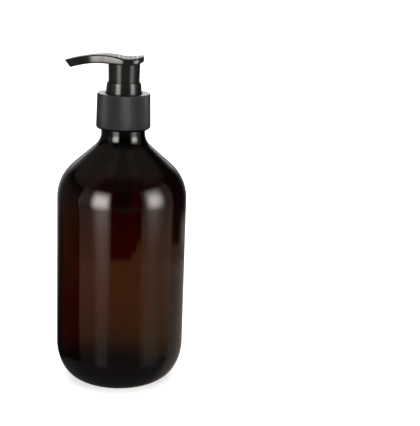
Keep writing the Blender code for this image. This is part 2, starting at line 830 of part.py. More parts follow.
def main():
    remove_everything()
    bottle()
    pump_axis = joint_empty("pump_axis", NECK_TOP)
    collar_axis = joint_empty("collar_axis", COLLAR_BOTTOM, pump_axis)
    ball_axis = joint_empty("ball_axis", BALL_CENTRE, pump_axis)
    plunger_axis = joint_empty("plunger_axis", STEM_TOP, pump_axis)
    piston_axis = joint_empty("piston_axis", PISTON_BOTTOM, plunger_axis)
    head_axis = joint_empty("head_axis", HEAD_ROOF, plunger_axis)
    collar(collar_axis)
    chaplet(pump_axis)
    gasket(pump_axis)
    housing(pump_axis)
    dip_tube(pump_axis)
    ball_cage(pump_axis)
    spring(pump_axis)
    inlet_ball(ball_axis)
    stem(plunger_axis)
    piston_rod(plunger_axis)
    piston(piston_axis)
    head(head_axis)


main()
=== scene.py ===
import math

import bmesh
import bpy
from mathutils import Matrix, Vector


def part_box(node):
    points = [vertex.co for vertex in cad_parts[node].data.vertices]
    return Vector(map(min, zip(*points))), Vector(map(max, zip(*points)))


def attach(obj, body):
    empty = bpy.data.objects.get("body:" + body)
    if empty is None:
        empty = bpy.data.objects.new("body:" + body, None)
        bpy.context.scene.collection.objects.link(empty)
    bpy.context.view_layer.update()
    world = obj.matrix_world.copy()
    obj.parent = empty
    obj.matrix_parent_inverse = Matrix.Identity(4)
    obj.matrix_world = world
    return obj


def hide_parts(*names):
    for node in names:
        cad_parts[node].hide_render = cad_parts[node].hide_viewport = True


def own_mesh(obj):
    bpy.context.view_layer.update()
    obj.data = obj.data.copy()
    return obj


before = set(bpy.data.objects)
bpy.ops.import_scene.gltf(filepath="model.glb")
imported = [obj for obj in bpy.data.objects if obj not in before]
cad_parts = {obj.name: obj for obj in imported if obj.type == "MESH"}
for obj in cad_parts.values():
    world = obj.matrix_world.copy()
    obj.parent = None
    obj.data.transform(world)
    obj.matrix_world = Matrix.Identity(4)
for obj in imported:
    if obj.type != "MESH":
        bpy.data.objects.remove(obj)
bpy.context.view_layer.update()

# ---------------------------------------------------------------- sizes, in metres

# Read from the frame
BOTTLE_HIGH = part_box("bottle")[1]
COLLAR_LOW, COLLAR_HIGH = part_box("collar")
CHAPLET_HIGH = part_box("chaplet")[1]
HEAD_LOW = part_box("head")[0]
TUBE_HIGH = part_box("dip_tube")[1]
SPRING_LOW, SPRING_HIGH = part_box("spring")

# Bottle, the same shape as its CAD solid
BODY_RADIUS = BOTTLE_HIGH.x
NECK_TOP = BOTTLE_HIGH.z
BODY_WALL = 0.0009
BASE_CORNER_HEIGHT = 0.0219
BASE_CORNER_WIDTH = 0.0146
FOOT_WIDTH = 0.0034
PUSH_UP = 0.0026
GATE_RADIUS = 0.0016
GATE_HEIGHT = 0.0005
SHOULDER_START = 0.1098
SHOULDER_ARC = 0.0256
SHOULDER_SLOPE = math.radians(48.5)
NECK_FILLET = 0.010
NECK_RADIUS = 0.0126
NECK_BORE = 0.0109
NECK_LIP_CHAMFER = 0.0004

# Thread on the neck and in the collar
THREAD_PITCH = 0.004233
THREAD_TURNS = 1.5
THREAD_START = 0.1572
THREAD_ROOT_HALF = 0.0010
THREAD_CREST_HALF = 0.0005
THREAD_RUN_OUT = math.radians(40)
NECK_THREAD_CREST = 0.0136
COLLAR_THREAD_CREST = 0.01295

# Collar
COLLAR_BOTTOM = COLLAR_LOW.z
COLLAR_TOP = COLLAR_HIGH.z
COLLAR_RADIUS_BOTTOM = COLLAR_HIGH.x
COLLAR_RADIUS_TOP = 0.0151
COLLAR_CORNER = 0.0016
COLLAR_TOP_EDGE = 0.0005
COLLAR_BORE = 0.0140
COLLAR_PLATE = 0.00153
COLLAR_HOLE = 0.0106
RIB_COUNT = 90
RIB_DEPTH = 0.00025
RIB_STEPS = 6
RIB_SHARPNESS = 0.7
# How deep the ribs are at each row of the rounded bottom corner and of the top edge
RIB_DEPTH_AT_CORNER = (0.0, 0.0, 0.15, 0.4, 0.7, 0.9, 1.0, 1.0)
RIB_DEPTH_AT_TOP = (1.0, 0.8, 0.35, 0.0, 0.0)
COLLAR_HOLE_EDGE = 0.0002

# Chaplet
SLEEVE_TOP = CHAPLET_HIGH.z
SLEEVE_RADIUS_TOP = 0.00975
SLEEVE_RADIUS_BOTTOM = 0.0102
SLEEVE_BORE = 0.0092
SLEEVE_LIP = 0.0002
WELL_BORE = 0.0090
WELL_WALL = 0.00065
WELL_FLOOR = 0.1621
WELL_FLOOR_THICKNESS = 0.0010
FLANGE_RADIUS = CHAPLET_HIGH.x
FLANGE_THICKNESS = 0.0009
GUIDE_TOP = 0.1690
GUIDE_BORE = 0.0031
GUIDE_OUTER = 0.00415
TOUCH_GAP = 0.0003

# Head
SKIRT_BOTTOM = HEAD_LOW.z
SKIRT_RADIUS_BOTTOM = 0.00875
SKIRT_RADIUS_TOP = 0.00905
SKIRT_BORE = 0.0080
SKIRT_JOIN = 0.1890
SKIRT_EDGE = 0.00015
SOCKET_BOTTOM = 0.1789
SOCKET_BORE = 0.0031
SOCKET_OUTER = 0.0046
SOCKET_TOP = 0.1863
HEAD_ROOF = 0.1867
CHANNEL_BORE = 0.0015
CHANNEL_HEIGHT = 0.1887
CHANNEL_HALF_HIGH = 0.0010
CHANNEL_HALF_WIDE = 0.0015
CHANNEL_ROOT = 0.010
CHANNEL_PAST_TIP = 0.003

# Head stations from the spout's tip to the thumb end:
# (x, top, bottom, half width, corner radius, how far the top leans past the bottom)
HEAD_STATIONS = (
    (-0.0317, 0.1885, 0.18455, 0.0025, 0.0006, 0.0015),
    (-0.0270, 0.19015, 0.18555, 0.0028, 0.0007, 0.0004),
    (-0.0200, 0.19155, 0.1869, 0.0033, 0.0008, 0.0),
    (-0.0155, 0.19205, 0.1874, 0.0043, 0.0008, 0.0),
    (-0.0105, 0.1922, 0.1875, 0.0063, 0.0008, 0.0),
    (-0.0060, 0.19185, 0.1873, 0.0080, 0.0009, 0.0),
    (-0.0025, 0.1911, 0.1872, 0.0092, 0.0009, 0.0),
    (0.0005, 0.19055, 0.1871, 0.0098, 0.0010, 0.0),
    (0.0040, 0.1905, 0.1871, 0.0095, 0.0010, 0.0),
    (0.0075, 0.1908, 0.1874, 0.0079, 0.0010, 0.0),
    (0.0097, 0.1915, 0.1883, 0.0058, 0.0009, 0.0),
    (0.0106, 0.1919, 0.1888, 0.0046, 0.0008, 0.0),
)
# Rings that round off the thumb end: how far past it each lies, and the size it keeps
HEAD_END_CAP = ((0.0002, 0.94), (0.0004, 0.80))
# How far the side walls lean in
HEAD_DRAFT = math.tan(math.radians(4.0))
HEAD_SLICES = 150
HEAD_CORNER_STEPS = 6
HEAD_TOP_STEPS = 22

# Grip ridges across the thumb pad
RIDGE_FIRST = -0.0052
RIDGE_LAST = 0.0095
RIDGE_PITCH = 0.00245
RIDGE_HEIGHT = 0.00030
RIDGE_FLATTEN = 1.6
RIDGE_RIM = 0.0004
RIDGE_SIDE_FADE = 0.0005
RIDGE_END_FADE = 0.0004

# Dip tube
TUBE_RADIUS = TUBE_HIGH.y
TUBE_WALL = 0.0008
TUBE_BEND_START = 0.1000
TUBE_END = 0.0070
TUBE_SWEEP = 0.0050
TUBE_CUT = 0.0023

# Spring, between the ball cage and the piston rod's flange
SPRING_WIRE = 0.00045
SPRING_RADIUS = 0.0036
SPRING_TURNS = 9
SPRING_DEAD_PITCH = 0.0011
SPRING_STEPS_PER_TURN = 24
SPRING_WIRE_SIDES = 10

# Segments round the fine turned pieces, and the angle past which an edge is shaded sharp
BODY_SEGMENTS = 144
PUMP_SEGMENTS = 128
SHARP_ANGLE = math.radians(32)


# ---------------------------------------------------------------- mesh helpers


def add_object(name, builder):
    bmesh.ops.recalc_face_normals(builder, faces=builder.faces)
    mesh = bpy.data.meshes.new(name)
    builder.to_mesh(mesh)
    builder.free()
    mesh.shade_smooth()
    mesh.set_sharp_from_angle(angle=SHARP_ANGLE)
    item = bpy.data.objects.new(name, mesh)
    bpy.context.scene.collection.objects.link(item)
    return item


def bridge(builder, first, second):
    """Quads between two closed rings, or a fan where one of them is a single vertex."""
    count = max(len(first), len(second))
    for i in range(count):
        j = (i + 1) % count
        if len(first) == 1:
            builder.faces.new((first[0], second[j], second[i]))
        elif len(second) == 1:
            builder.faces.new((first[i], first[j], second[0]))
        else:
            builder.faces.new((first[i], first[j], second[j], second[i]))


def turned(name, outline, segments, loop=True, reshape=None):
    """Turn (radius, z, kind) points about the axis. reshape(radius, z, kind, angle) may change
    the radius round the ring, for ribs and threads."""
    builder = bmesh.new()
    rings = []
    for radius, z, *kind in outline:
        if radius == 0.0:
            rings.append([builder.verts.new((0.0, 0.0, z))])
            continue
        ring = []
        for i in range(segments):
            angle = math.tau * i / segments
            r = reshape(radius, z, kind[0], angle) if kind else radius
            ring.append(builder.verts.new((r * math.cos(angle), r * math.sin(angle), z)))
        rings.append(ring)
    for lower, upper in zip(rings, rings[1:]):
        bridge(builder, lower, upper)
    if loop:
        bridge(builder, rings[-1], rings[0])
    return add_object(name, builder)


def swept(name, rings_of_points, hollow=False):
    builder = bmesh.new()
    rings = [[builder.verts.new(point) for point in points] for points in rings_of_points]
    for first, second in zip(rings, rings[1:]):
        bridge(builder, first, second)
    if hollow:
        bridge(builder, rings[-1], rings[0])
    else:
        builder.faces.new(rings[0])
        builder.faces.new(rings[-1])
    return add_object(name, builder)


def arc(centre, radii, start, end, steps):
    angles = [start + (end - start) * i / steps for i in range(steps + 1)]
    return [
        (centre[0] + radii[0] * math.cos(a), centre[1] + radii[1] * math.sin(a)) for a in angles
    ]


def rows_between(first, last, steps, kind=None):
    """Evenly spaced outline points between two ends, without the ends themselves."""
    rows = []
    for i in range(1, steps):
        t = i / steps
        point = (first[0] + (last[0] - first[0]) * t, first[1] + (last[1] - first[1]) * t)
        rows.append((*point, kind) if kind else point)
    return rows


def combine(item, tool, operation):
    """Cut or join with a tool, then drop the tool."""
    modifier = item.modifiers.new("combine", "BOOLEAN")
    modifier.operation = operation
    modifier.object = tool
    modifier.solver = "EXACT"
    bpy.context.view_layer.update()
    evaluated = item.evaluated_get(bpy.context.evaluated_depsgraph_get())
    mesh = bpy.data.meshes.new_from_object(evaluated)
    item.modifiers.clear()
    item.data = mesh
    bpy.data.objects.remove(tool, do_unlink=True)
    mesh.shade_smooth()
    mesh.set_sharp_from_angle(angle=SHARP_ANGLE)


def place(item, body, slot_name, material, *nodes):
    """Ride on a body, stand for its CAD nodes and take the finish."""
    item.data.materials.clear()
    item.data.materials.append(material)
    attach(item, body)
    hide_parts(*nodes)


# ---------------------------------------------------------------- material helpers


class Graph:
    """A short way to write shader node trees."""

    def __init__(self, tree):
        self.tree = tree

    def node(self, kind, **settings):
        made = self.tree.nodes.new(kind)
        for key, value in settings.items():
            setattr(made, key, value)
        return made

    def feed(self, socket, value):
        if isinstance(value, bpy.types.NodeSocket):
            self.tree.links.new(value, socket)
        else:
            socket.default_value = value

    def maths(self, operation, *values):
        made = self.node("ShaderNodeMath", operation=operation)
        for socket, value in zip(made.inputs, values):
            self.feed(socket, value)
        return made.outputs[0]

    def add_scaled(self, value, scale, rest):
        """value times scale plus rest, for vectors and colours."""
        made = self.node("ShaderNodeVectorMath", operation="MULTIPLY_ADD")
        for socket, given in zip(made.inputs, (value, scale, rest)):
            self.feed(socket, given)
        return made.outputs[0]

    def ramp(self, value, start, end, low=0.0, high=1.0):
        made = self.node("ShaderNodeMapRange", interpolation_type="SMOOTHSTEP")
        for name, given in (
            ("Value", value),
            ("From Min", start),
            ("From Max", end),
            ("To Min", low),
            ("To Max", high),
        ):
            self.feed(made.inputs[name], given)
        return made.outputs["Result"]

    def between(self, value, start, full, fade, end):
        rise = self.ramp(value, start, full)
        fall = self.ramp(value, fade, end, 1.0, 0.0)
        return self.maths("MULTIPLY", rise, fall)

    def position(self):
        return self.node("ShaderNodeTexCoord").outputs["Object"]

    def split(self, vector):
        made = self.node("ShaderNodeSeparateXYZ")
        self.feed(made.inputs[0], vector)
        return made.outputs

    def noise(self, scale, detail=3.0, stretch=(1.0, 1.0, 1.0)):
        mapping = self.node("ShaderNodeMapping")
        self.feed(mapping.inputs["Vector"], self.position())
        mapping.inputs["Scale"].default_value = stretch
        made = self.node("ShaderNodeTexNoise")
        self.feed(made.inputs["Vector"], mapping.outputs[0])
        made.inputs["Scale"].default_value = scale
        made.inputs["Detail"].default_value = detail
        return made.outputs["Fac"]

    def mix_colour(self, factor, first, second):
        made = self.node("ShaderNodeMix", data_type="RGBA")
        self.feed(made.inputs["Factor"], factor)
        for name, given in (("A", first), ("B", second)):
            socket = next(s for s in made.inputs if s.name == name and s.type == "RGBA")
            self.feed(socket, given if isinstance(given, bpy.types.NodeSocket) else (*given, 1.0))
        return next(s for s in made.outputs if s.type == "RGBA")

    def bump(self, height, strength, distance, normal=None):
        made = self.node("ShaderNodeBump")
        made.inputs["Strength"].default_value = strength
        made.inputs["Distance"].default_value = distance
        self.feed(made.inputs["Height"], height)
        if normal is not None:
            self.feed(made.inputs["Normal"], normal)
        return made.outputs[0]


def new_material(name):
    material = bpy.data.materials.new(name)
    material.use_nodes = True
    return Graph(material.node_tree), material.node_tree.nodes["Principled BSDF"], material


# The normal's height where a face begins to look up, and where it fully does
FACES_UP = 0.80, 0.96


def moulded(name, dark, light, roughness, spread, grain_scale, grain_depth, soft_top=0.0):
    """Moulded plastic: mottled colour, uneven gloss, fine grain and shallow sink marks.
    soft_top is how much rougher the faces that look up are."""
    graph, shader, material = new_material(name)
    mottle = graph.noise(140.0, 4.0)
    graph.feed(shader.inputs["Base Color"], graph.mix_colour(mottle, dark, light))
    patches = graph.noise(260.0, 3.0)
    gloss = graph.ramp(patches, 0.25, 0.75, roughness - spread, roughness + spread)
    if soft_top:
        up = graph.split(graph.node("ShaderNodeTexCoord").outputs["Normal"])[2]
        gloss = graph.maths("MULTIPLY_ADD", graph.ramp(up, *FACES_UP), soft_top, gloss)
    graph.feed(shader.inputs["Roughness"], gloss)
    sink = graph.bump(graph.noise(45.0, 1.0), 0.25, 0.0004)
    grain = graph.bump(graph.noise(grain_scale, 2.0), 0.5, grain_depth, sink)
    graph.feed(shader.inputs["Normal"], grain)
    return material


# Absorption in the amber wall: strength per metre, and the colour that gets through
AMBER_DENSITY = 6000.0
AMBER_COLOUR = (0.623, 0.303, 0.083)
AMBER_IOR = 1.54
# Heights where the tint changes, and how clear it is at each
AMBER_SHOULDER_TINT = 0.062, 0.150, 1.0, 0.30
AMBER_BASE_TINT = 0.003, 0.036, 0.20, 1.0


def amber_material():
    """Dark amber bottle plastic, darker towards the shoulder and neck, and towards the base."""
    graph, shader, material = new_material("amber_bottle_plastic")
    height = graph.split(graph.position())[2]
    shoulder = graph.ramp(height, *AMBER_SHOULDER_TINT)
    base = graph.ramp(height, *AMBER_BASE_TINT)
    clear = graph.maths("MULTIPLY", shoulder, base)
    streaks = graph.ramp(graph.noise(60.0, 3.0, (1.0, 1.0, 0.15)), 0.3, 0.75, 1.0, 0.86)
    clear = graph.maths("MULTIPLY", clear, streaks)
    colour = graph.mix_colour(clear, (0.10, 0.02, 0.006), (1.0, 0.96, 0.90))
    graph.feed(shader.inputs["Base Color"], colour)
    gloss = graph.noise(90.0, 3.0)
    graph.feed(shader.inputs["Roughness"], graph.ramp(gloss, 0.3, 0.7, 0.012, 0.030))
    waves = graph.bump(graph.noise(28.0, 1.0, (1.0, 1.0, 0.5)), 0.12, 0.0006)
    grain = graph.bump(graph.noise(900.0, 2.0), 0.05, 0.00002, waves)
    graph.feed(shader.inputs["Normal"], grain)
    shader.inputs["Transmission Weight"].default_value = 1.0
    shader.inputs["IOR"].default_value = AMBER_IOR
    depth = graph.node("ShaderNodeVolumeAbsorption")
    depth.inputs["Color"].default_value = (*AMBER_COLOUR, 1.0)
    depth.inputs["Density"].default_value = AMBER_DENSITY
    output = material.node_tree.nodes["Material Output"]
    graph.feed(output.inputs["Volume"], depth.outputs[0])
    return material


# Painted shade on the collar's bottom edge, where the shoulder below keeps light off it: heights
# above the edge where the shade fades and ends, its colour, its gloss, and the gloss added above
# it
RIM_SHADE_START, RIM_SHADE_END = 0.0008, 0.0016
RIM_SHADE_COLOUR = (0.002, 0.002, 0.002)
RIM_SHADE_SPECULAR, WALL_SPECULAR = 0.03, 0.29


def collar_material():
    """Matt dark grey, a little lighter where the ribs' crests are rubbed."""
    graph, shader, material = new_material("collar_matt_plastic")
    x, y, z = graph.split(graph.position())
    squares = graph.maths("MULTIPLY_ADD", x, x, graph.maths("MULTIPLY", y, y))
    across = graph.maths("SQRT", squares)
    slope = (COLLAR_RADIUS_TOP - COLLAR_RADIUS_BOTTOM) / (COLLAR_TOP - COLLAR_BOTTOM)
    height = graph.maths("SUBTRACT", z, COLLAR_BOTTOM)
    wall = graph.maths("MULTIPLY_ADD", height, slope, COLLAR_RADIUS_BOTTOM)
    depth = graph.maths("SUBTRACT", wall, across)
    crest = graph.ramp(depth, 0.0, RIB_DEPTH, 1.0, 0.0)
    worn = graph.maths("MULTIPLY", crest, graph.ramp(graph.noise(160.0, 4.0), 0.35, 0.7))
    mottle = graph.noise(200.0, 4.0)
    body = graph.mix_colour(mottle, (0.008, 0.0095, 0.0105), (0.013, 0.0145, 0.016))
    body = graph.mix_colour(worn, body, (0.021, 0.023, 0.025))
    # Painted shade: towards the bottom edge the colour goes near black and the gloss drops
    rim = graph.ramp(z, COLLAR_BOTTOM + RIM_SHADE_START, COLLAR_BOTTOM + RIM_SHADE_END)
    graph.feed(shader.inputs["Base Color"], graph.mix_colour(rim, RIM_SHADE_COLOUR, body))
    matt = graph.ramp(graph.noise(300.0, 3.0), 0.3, 0.7, 0.32, 0.40)
    graph.feed(shader.inputs["Roughness"], matt)
    graph.feed(shader.inputs["Normal"], graph.bump(graph.noise(2600.0, 2.0), 0.35, 0.00003))
    specular = graph.maths("MULTIPLY_ADD", rim, WALL_SPECULAR, RIM_SHADE_SPECULAR)
    graph.feed(shader.inputs["Specular IOR Level"], specular)
    return material


def tube_material():
    """Milky translucent tube with faint draw lines along it."""
    graph, shader, material = new_material("dip_tube_plastic")
    lines = graph.noise(700.0, 2.0, (1.0, 1.0, 0.02))
    milky = graph.mix_colour(lines, (0.96, 0.95, 0.93), (1.0, 0.99, 0.97))
    graph.feed(shader.inputs["Base Color"], milky)
    graph.feed(shader.inputs["Roughness"], graph.ramp(lines, 0.3, 0.7, 0.10, 0.18))
    graph.feed(shader.inputs["Normal"], graph.bump(lines, 0.1, 0.00001))
    shader.inputs["Transmission Weight"].default_value = 0.96
    shader.inputs["IOR"].default_value = 1.01
    return material


def steel_material():
    """Drawn wire and ground ball: bright steel with fine lines."""
    graph, shader, material = new_material("bright_steel")
    lines = graph.noise(1500.0, 2.0, (1.0, 1.0, 0.2))
    bright = graph.mix_colour(lines, (0.50, 0.50, 0.52), (0.68, 0.68, 0.70))
    graph.feed(shader.inputs["Base Color"], bright)
    graph.feed(shader.inputs["Roughness"], graph.ramp(lines, 0.3, 0.7, 0.16, 0.30))
    graph.feed(shader.inputs["Normal"], graph.bump(lines, 0.2, 0.00002))
    shader.inputs["Metallic"].default_value = 1.0
    return material


# ---------------------------------------------------------------- bottle


def thread_height(angle, z, start):
    """How much of the thread stands at this angle and height, from 0 to 1."""
    best = 0.0
    total = math.tau * THREAD_TURNS
    for lap in range(math.ceil(THREAD_TURNS)):
        along = angle + math.tau * lap
        if along > total:
            continue
        off = abs(z - (start + THREAD_PITCH * along / math.tau))
        flank = (THREAD_ROOT_HALF - off) / (THREAD_ROOT_HALF - THREAD_CREST_HALF)
        fade = min(1.0, along / THREAD_RUN_OUT, (total - along) / THREAD_RUN_OUT)
        best = max(best, min(1.0, max(0.0, flank)) * fade)
    return best


def neck_radius_at(radius, z, kind, angle):
    return radius + (NECK_THREAD_CREST - NECK_RADIUS) * thread_height(angle, z, THREAD_START)


def base_outline(inset, gate=False):
    foot_outer = BODY_RADIUS - BASE_CORNER_WIDTH
    foot_inner = foot_outer - FOOT_WIDTH
    steps = 12
    dome = []
    for i in range(steps + 1):
        r = foot_inner * i / steps
        dome.append((r, inset + PUSH_UP * (1.0 - (r / foot_inner) ** 2)))
    if gate:
        nub = dome[0][1] - GATE_HEIGHT
        nub_edge = (GATE_RADIUS * 0.95, nub + GATE_HEIGHT * 0.9)
        # the gate mark's nub takes the place of the dome's middle point
        dome[0:1] = [(0.0, nub), (GATE_RADIUS * 0.7, nub), nub_edge]
    corner = arc(
        (foot_outer, BASE_CORNER_HEIGHT),
        (BASE_CORNER_WIDTH - inset, BASE_CORNER_HEIGHT - inset),
        -math.pi / 2,
        0.0,
        28,
    )
    return dome + corner


def shoulder_outline(inset, neck_radius):
    shoulder = arc(
        (BODY_RADIUS - SHOULDER_ARC, SHOULDER_START),
        (SHOULDER_ARC - inset, SHOULDER_ARC - inset),
        0.0,
        SHOULDER_SLOPE,
        22,
    )
    fillet = NECK_FILLET + inset
    cone_top_radius = neck_radius + fillet * (1.0 - math.cos(SHOULDER_SLOPE))
    cone_rise = (shoulder[-1][0] - cone_top_radius) / math.tan(SHOULDER_SLOPE)
    fillet_top = shoulder[-1][1] + cone_rise + fillet * math.sin(SHOULDER_SLOPE)
    blend = arc(
        (neck_radius + fillet, fillet_top), (fillet, fillet), math.pi + SHOULDER_SLOPE, math.pi, 16
    )
    cone = rows_between(shoulder[-1], blend[0], 5)
    return shoulder + cone + blend


def wall_outline(inset, neck_radius, gate=False):
    base = base_outline(inset, gate)
    shoulder = shoulder_outline(inset, neck_radius)
    return base + rows_between(base[-1], shoulder[0], 6) + shoulder


def make_bottle():
    outside = wall_outline(0.0, NECK_RADIUS, gate=True)
    thread_low = THREAD_START - THREAD_ROOT_HALF
    thread_high = THREAD_START + THREAD_PITCH * THREAD_TURNS + THREAD_ROOT_HALF
    below, above = (NECK_RADIUS, thread_low), (NECK_RADIUS, thread_high)
    threaded = [below, *rows_between(below, above, 56, "thread"), above]
    lip_corner = NECK_TOP - NECK_LIP_CHAMFER
    lip = arc(
        (NECK_RADIUS - NECK_LIP_CHAMFER, lip_corner),
        (NECK_LIP_CHAMFER, NECK_LIP_CHAMFER),
        0.0,
        math.pi / 2,
        4,
    )
    lip.append((NECK_BORE, NECK_TOP))
    inside = wall_outline(BODY_WALL, NECK_BORE)
    outline = outside + threaded + lip + inside[::-1]
    item = turned("bottle_shell", outline, BODY_SEGMENTS, loop=False, reshape=neck_radius_at)
    place(item, "bottle", "amber_plastic", amber_material(), "bottle")


# ---------------------------------------------------------------- collar


def collar_radius_at(radius, z, kind, angle):
    if kind == "thread":
        start = THREAD_START - THREAD_PITCH / 2
        return radius - (COLLAR_BORE - COLLAR_THREAD_CREST) * thread_height(angle, z, start)
    wave = 0.5 - 0.5 * math.cos(RIB_COUNT * angle)
    return radius - kind * RIB_DEPTH * wave ** RIB_SHARPNESS


def make_collar():
    corner = arc(
        (COLLAR_RADIUS_BOTTOM - COLLAR_CORNER, COLLAR_BOTTOM + COLLAR_CORNER),
        (COLLAR_CORNER, COLLAR_CORNER),
        -math.pi / 2,
        0.0,
        7,
    )
    outside = [(r, z, depth) for (r, z), depth in zip(corner, RIB_DEPTH_AT_CORNER)]
    edge = arc(
        (COLLAR_RADIUS_TOP - COLLAR_TOP_EDGE, COLLAR_TOP - COLLAR_TOP_EDGE),
        (COLLAR_TOP_EDGE, COLLAR_TOP_EDGE),
        0.0,
        math.pi / 2,
        4,
    )
    outside += rows_between(outside[-1], edge[0], 3, 1.0)
    outside += [(r, z, depth) for (r, z), depth in zip(edge, RIB_DEPTH_AT_TOP)]
    under_plate = COLLAR_TOP - COLLAR_PLATE
    top = [
        (COLLAR_HOLE + COLLAR_HOLE_EDGE, COLLAR_TOP),
        (COLLAR_HOLE, COLLAR_TOP - COLLAR_HOLE_EDGE),
        (COLLAR_HOLE, under_plate),
        (COLLAR_BORE, under_plate),
    ]
    thread_low = THREAD_START - THREAD_PITCH / 2 - THREAD_ROOT_HALF
    thread_high = thread_low + THREAD_PITCH * THREAD_TURNS + 2 * THREAD_ROOT_HALF
    above, below = (COLLAR_BORE, thread_high), (COLLAR_BORE, thread_low)
    bore = [above, *rows_between(above, below, 44, "thread"), below, (COLLAR_BORE, COLLAR_BOTTOM)]
    outline = outside + top + bore
    item = turned("collar_shell", outline, RIB_COUNT * RIB_STEPS, reshape=collar_radius_at)
    place(item, "collar", "collar_plastic", collar_material(), "collar")


# ---------------------------------------------------------------- chaplet


def make_chaplet(material):
    flange_top = COLLAR_TOP - COLLAR_PLATE - TOUCH_GAP
    flange_bottom = flange_top - FLANGE_THICKNESS
    well_outer = WELL_BORE + WELL_WALL
    underside = WELL_FLOOR - WELL_FLOOR_THICKNESS
    lip_low = SLEEVE_TOP - SLEEVE_LIP
    lip_radii = (SLEEVE_LIP, SLEEVE_LIP)
    lip_in = arc((SLEEVE_BORE + SLEEVE_LIP, lip_low), lip_radii, math.pi, math.pi / 2, 3)
    lip_out = arc((SLEEVE_RADIUS_TOP - SLEEVE_LIP, lip_low), lip_radii, math.pi / 2, 0.0, 3)
    outline = [
        *lip_in,
        *lip_out[1:],
        *rows_between(lip_out[-1], (SLEEVE_RADIUS_BOTTOM, COLLAR_TOP), 4),
        (SLEEVE_RADIUS_BOTTOM, COLLAR_TOP),
        (SLEEVE_RADIUS_BOTTOM, flange_top),
        (FLANGE_RADIUS, flange_top),
        (FLANGE_RADIUS, flange_bottom),
        (well_outer, flange_bottom),
        (well_outer, underside),
        (GUIDE_BORE, underside),
        (GUIDE_BORE, GUIDE_TOP),
        (GUIDE_OUTER, GUIDE_TOP),
        (GUIDE_OUTER, WELL_FLOOR),
        (WELL_BORE, WELL_FLOOR),
        (WELL_BORE, flange_bottom),
        (SLEEVE_BORE, flange_top),
    ]
    item = turned("chaplet_sleeve", outline, PUMP_SEGMENTS)
    place(item, "pump", "pump_plastic", material, "chaplet")


# ---------------------------------------------------------------- head


def station_at(x):
    """Smoothly interpolated head station: Hermite curves with slopes from the neighbours."""
    rows = HEAD_STATIONS
    last = len(rows) - 1
    i = max(k for k in range(last) if rows[k][0] <= x or k == 0)
    span = rows[i + 1][0] - rows[i][0]
    t = (x - rows[i][0]) / span

    def slope(k, column):
        before, after = max(0, k - 1), min(last, k + 1)
        return (rows[after][column] - rows[before][column]) / (rows[after][0] - rows[before][0])

    values = []
    for column in range(1, 6):
        start, end = rows[i][column], rows[i + 1][column]
        lean_in, lean_out = slope(i, column) * span, slope(i + 1, column) * span
        values.append(
            start * (1 + 2 * t) * (1 - t) ** 2
            + lean_in * t * (1 - t) ** 2
            + end * t * t * (3 - 2 * t)
            - lean_out * t * t * (1 - t)
        )
    return values


def ridge_lift(x, y, half_wide):
    """Height of the grip ridges on the thumb pad, easing off at the pad's rim."""
    if not RIDGE_FIRST < x < RIDGE_LAST:
        return 0.0
    phase = (x - RIDGE_FIRST) / RIDGE_PITCH
    wave = 0.5 - 0.5 * math.cos(math.tau * phase)
    crest = min(1.0, wave * RIDGE_FLATTEN)
    sides = min(1.0, max(0.0, (half_wide - RIDGE_RIM - abs(y)) / RIDGE_SIDE_FADE))
    ends = min(1.0, min(x - RIDGE_FIRST, RIDGE_LAST - x) / RIDGE_END_FADE)
    return RIDGE_HEIGHT * crest * sides * ends


def head_section(x):
    """A rounded box across the head at x, ridged on top over the thumb pad."""
    top, bottom, half_wide, corner, lean = station_at(x)
    half_high = (top - bottom) / 2
    middle = (top + bottom) / 2
    section = []
    for side_y, side_z, start in ((1, 1, 0.0), (-1, 1, 0.5), (-1, -1, 1.0), (1, -1, 1.5)):
        for step in range(HEAD_CORNER_STEPS + 1):
            angle = math.pi * (start + 0.5 * step / HEAD_CORNER_STEPS)
            y = side_y * (half_wide - corner) + corner * math.cos(angle)
            z = side_z * (half_high - corner) + corner * math.sin(angle)
            section.append((y - side_y * HEAD_DRAFT * z, z))
        if (side_y, side_z) == (1, 1):
            flat = half_wide - corner - HEAD_DRAFT * half_high
            inner = [flat * (1 - 2 * k / HEAD_TOP_STEPS) for k in range(1, HEAD_TOP_STEPS)]
            section += [(y, half_high) for y in inner]
    points = []
    for y, z in section:
        lift = ridge_lift(x, y, half_wide) if z > half_high - 1e-9 else 0.0
        points.append((x - lean * z / half_high, y, middle + z + lift))
    return points


def make_head(material):
    first, last = HEAD_STATIONS[0][0], HEAD_STATIONS[-1][0]
    places = [first + (last - first) * i / HEAD_SLICES for i in range(HEAD_SLICES + 1)]
    rings = [head_section(x) for x in places]
    end = rings[-1]
    middle_z = sum(point[2] for point in end) / len(end)
    for out, shrink in HEAD_END_CAP:
        rings.append(
            [(last + out, y * shrink, middle_z + (z - middle_z) * shrink) for _, y, z in end]
        )
    item = swept("head_shell", rings)
    combine(item, skirt_blank(), "UNION")
    combine(item, cavity_tool(), "DIFFERENCE")
    combine(item, channel_tool(), "DIFFERENCE")
    place(item, "head", "pump_plastic", material, "head")


def skirt_blank():
    outline = [
        (0.0, SKIRT_BOTTOM),
        (SKIRT_RADIUS_BOTTOM - SKIRT_EDGE, SKIRT_BOTTOM),
        (SKIRT_RADIUS_BOTTOM, SKIRT_BOTTOM + SKIRT_EDGE),
        (SKIRT_RADIUS_TOP, SKIRT_JOIN),
        (0.0, SKIRT_JOIN),
    ]
    return turned("skirt_blank", outline, PUMP_SEGMENTS, loop=False)


def cavity_tool():
    below = SKIRT_BOTTOM - SKIRT_BORE
    outline = [
        (0.0, below),
        (SKIRT_BORE, below),
        (SKIRT_BORE, HEAD_ROOF),
        (SOCKET_OUTER, HEAD_ROOF),
        (SOCKET_OUTER, SOCKET_BOTTOM),
        (SOCKET_BORE, SOCKET_BOTTOM),
        (SOCKET_BORE, SOCKET_TOP),
        (CHANNEL_BORE, SOCKET_TOP),
        (CHANNEL_BORE, CHANNEL_HEIGHT),
        (0.0, CHANNEL_HEIGHT),
    ]
    return turned("cavity_tool", outline, PUMP_SEGMENTS, loop=False)


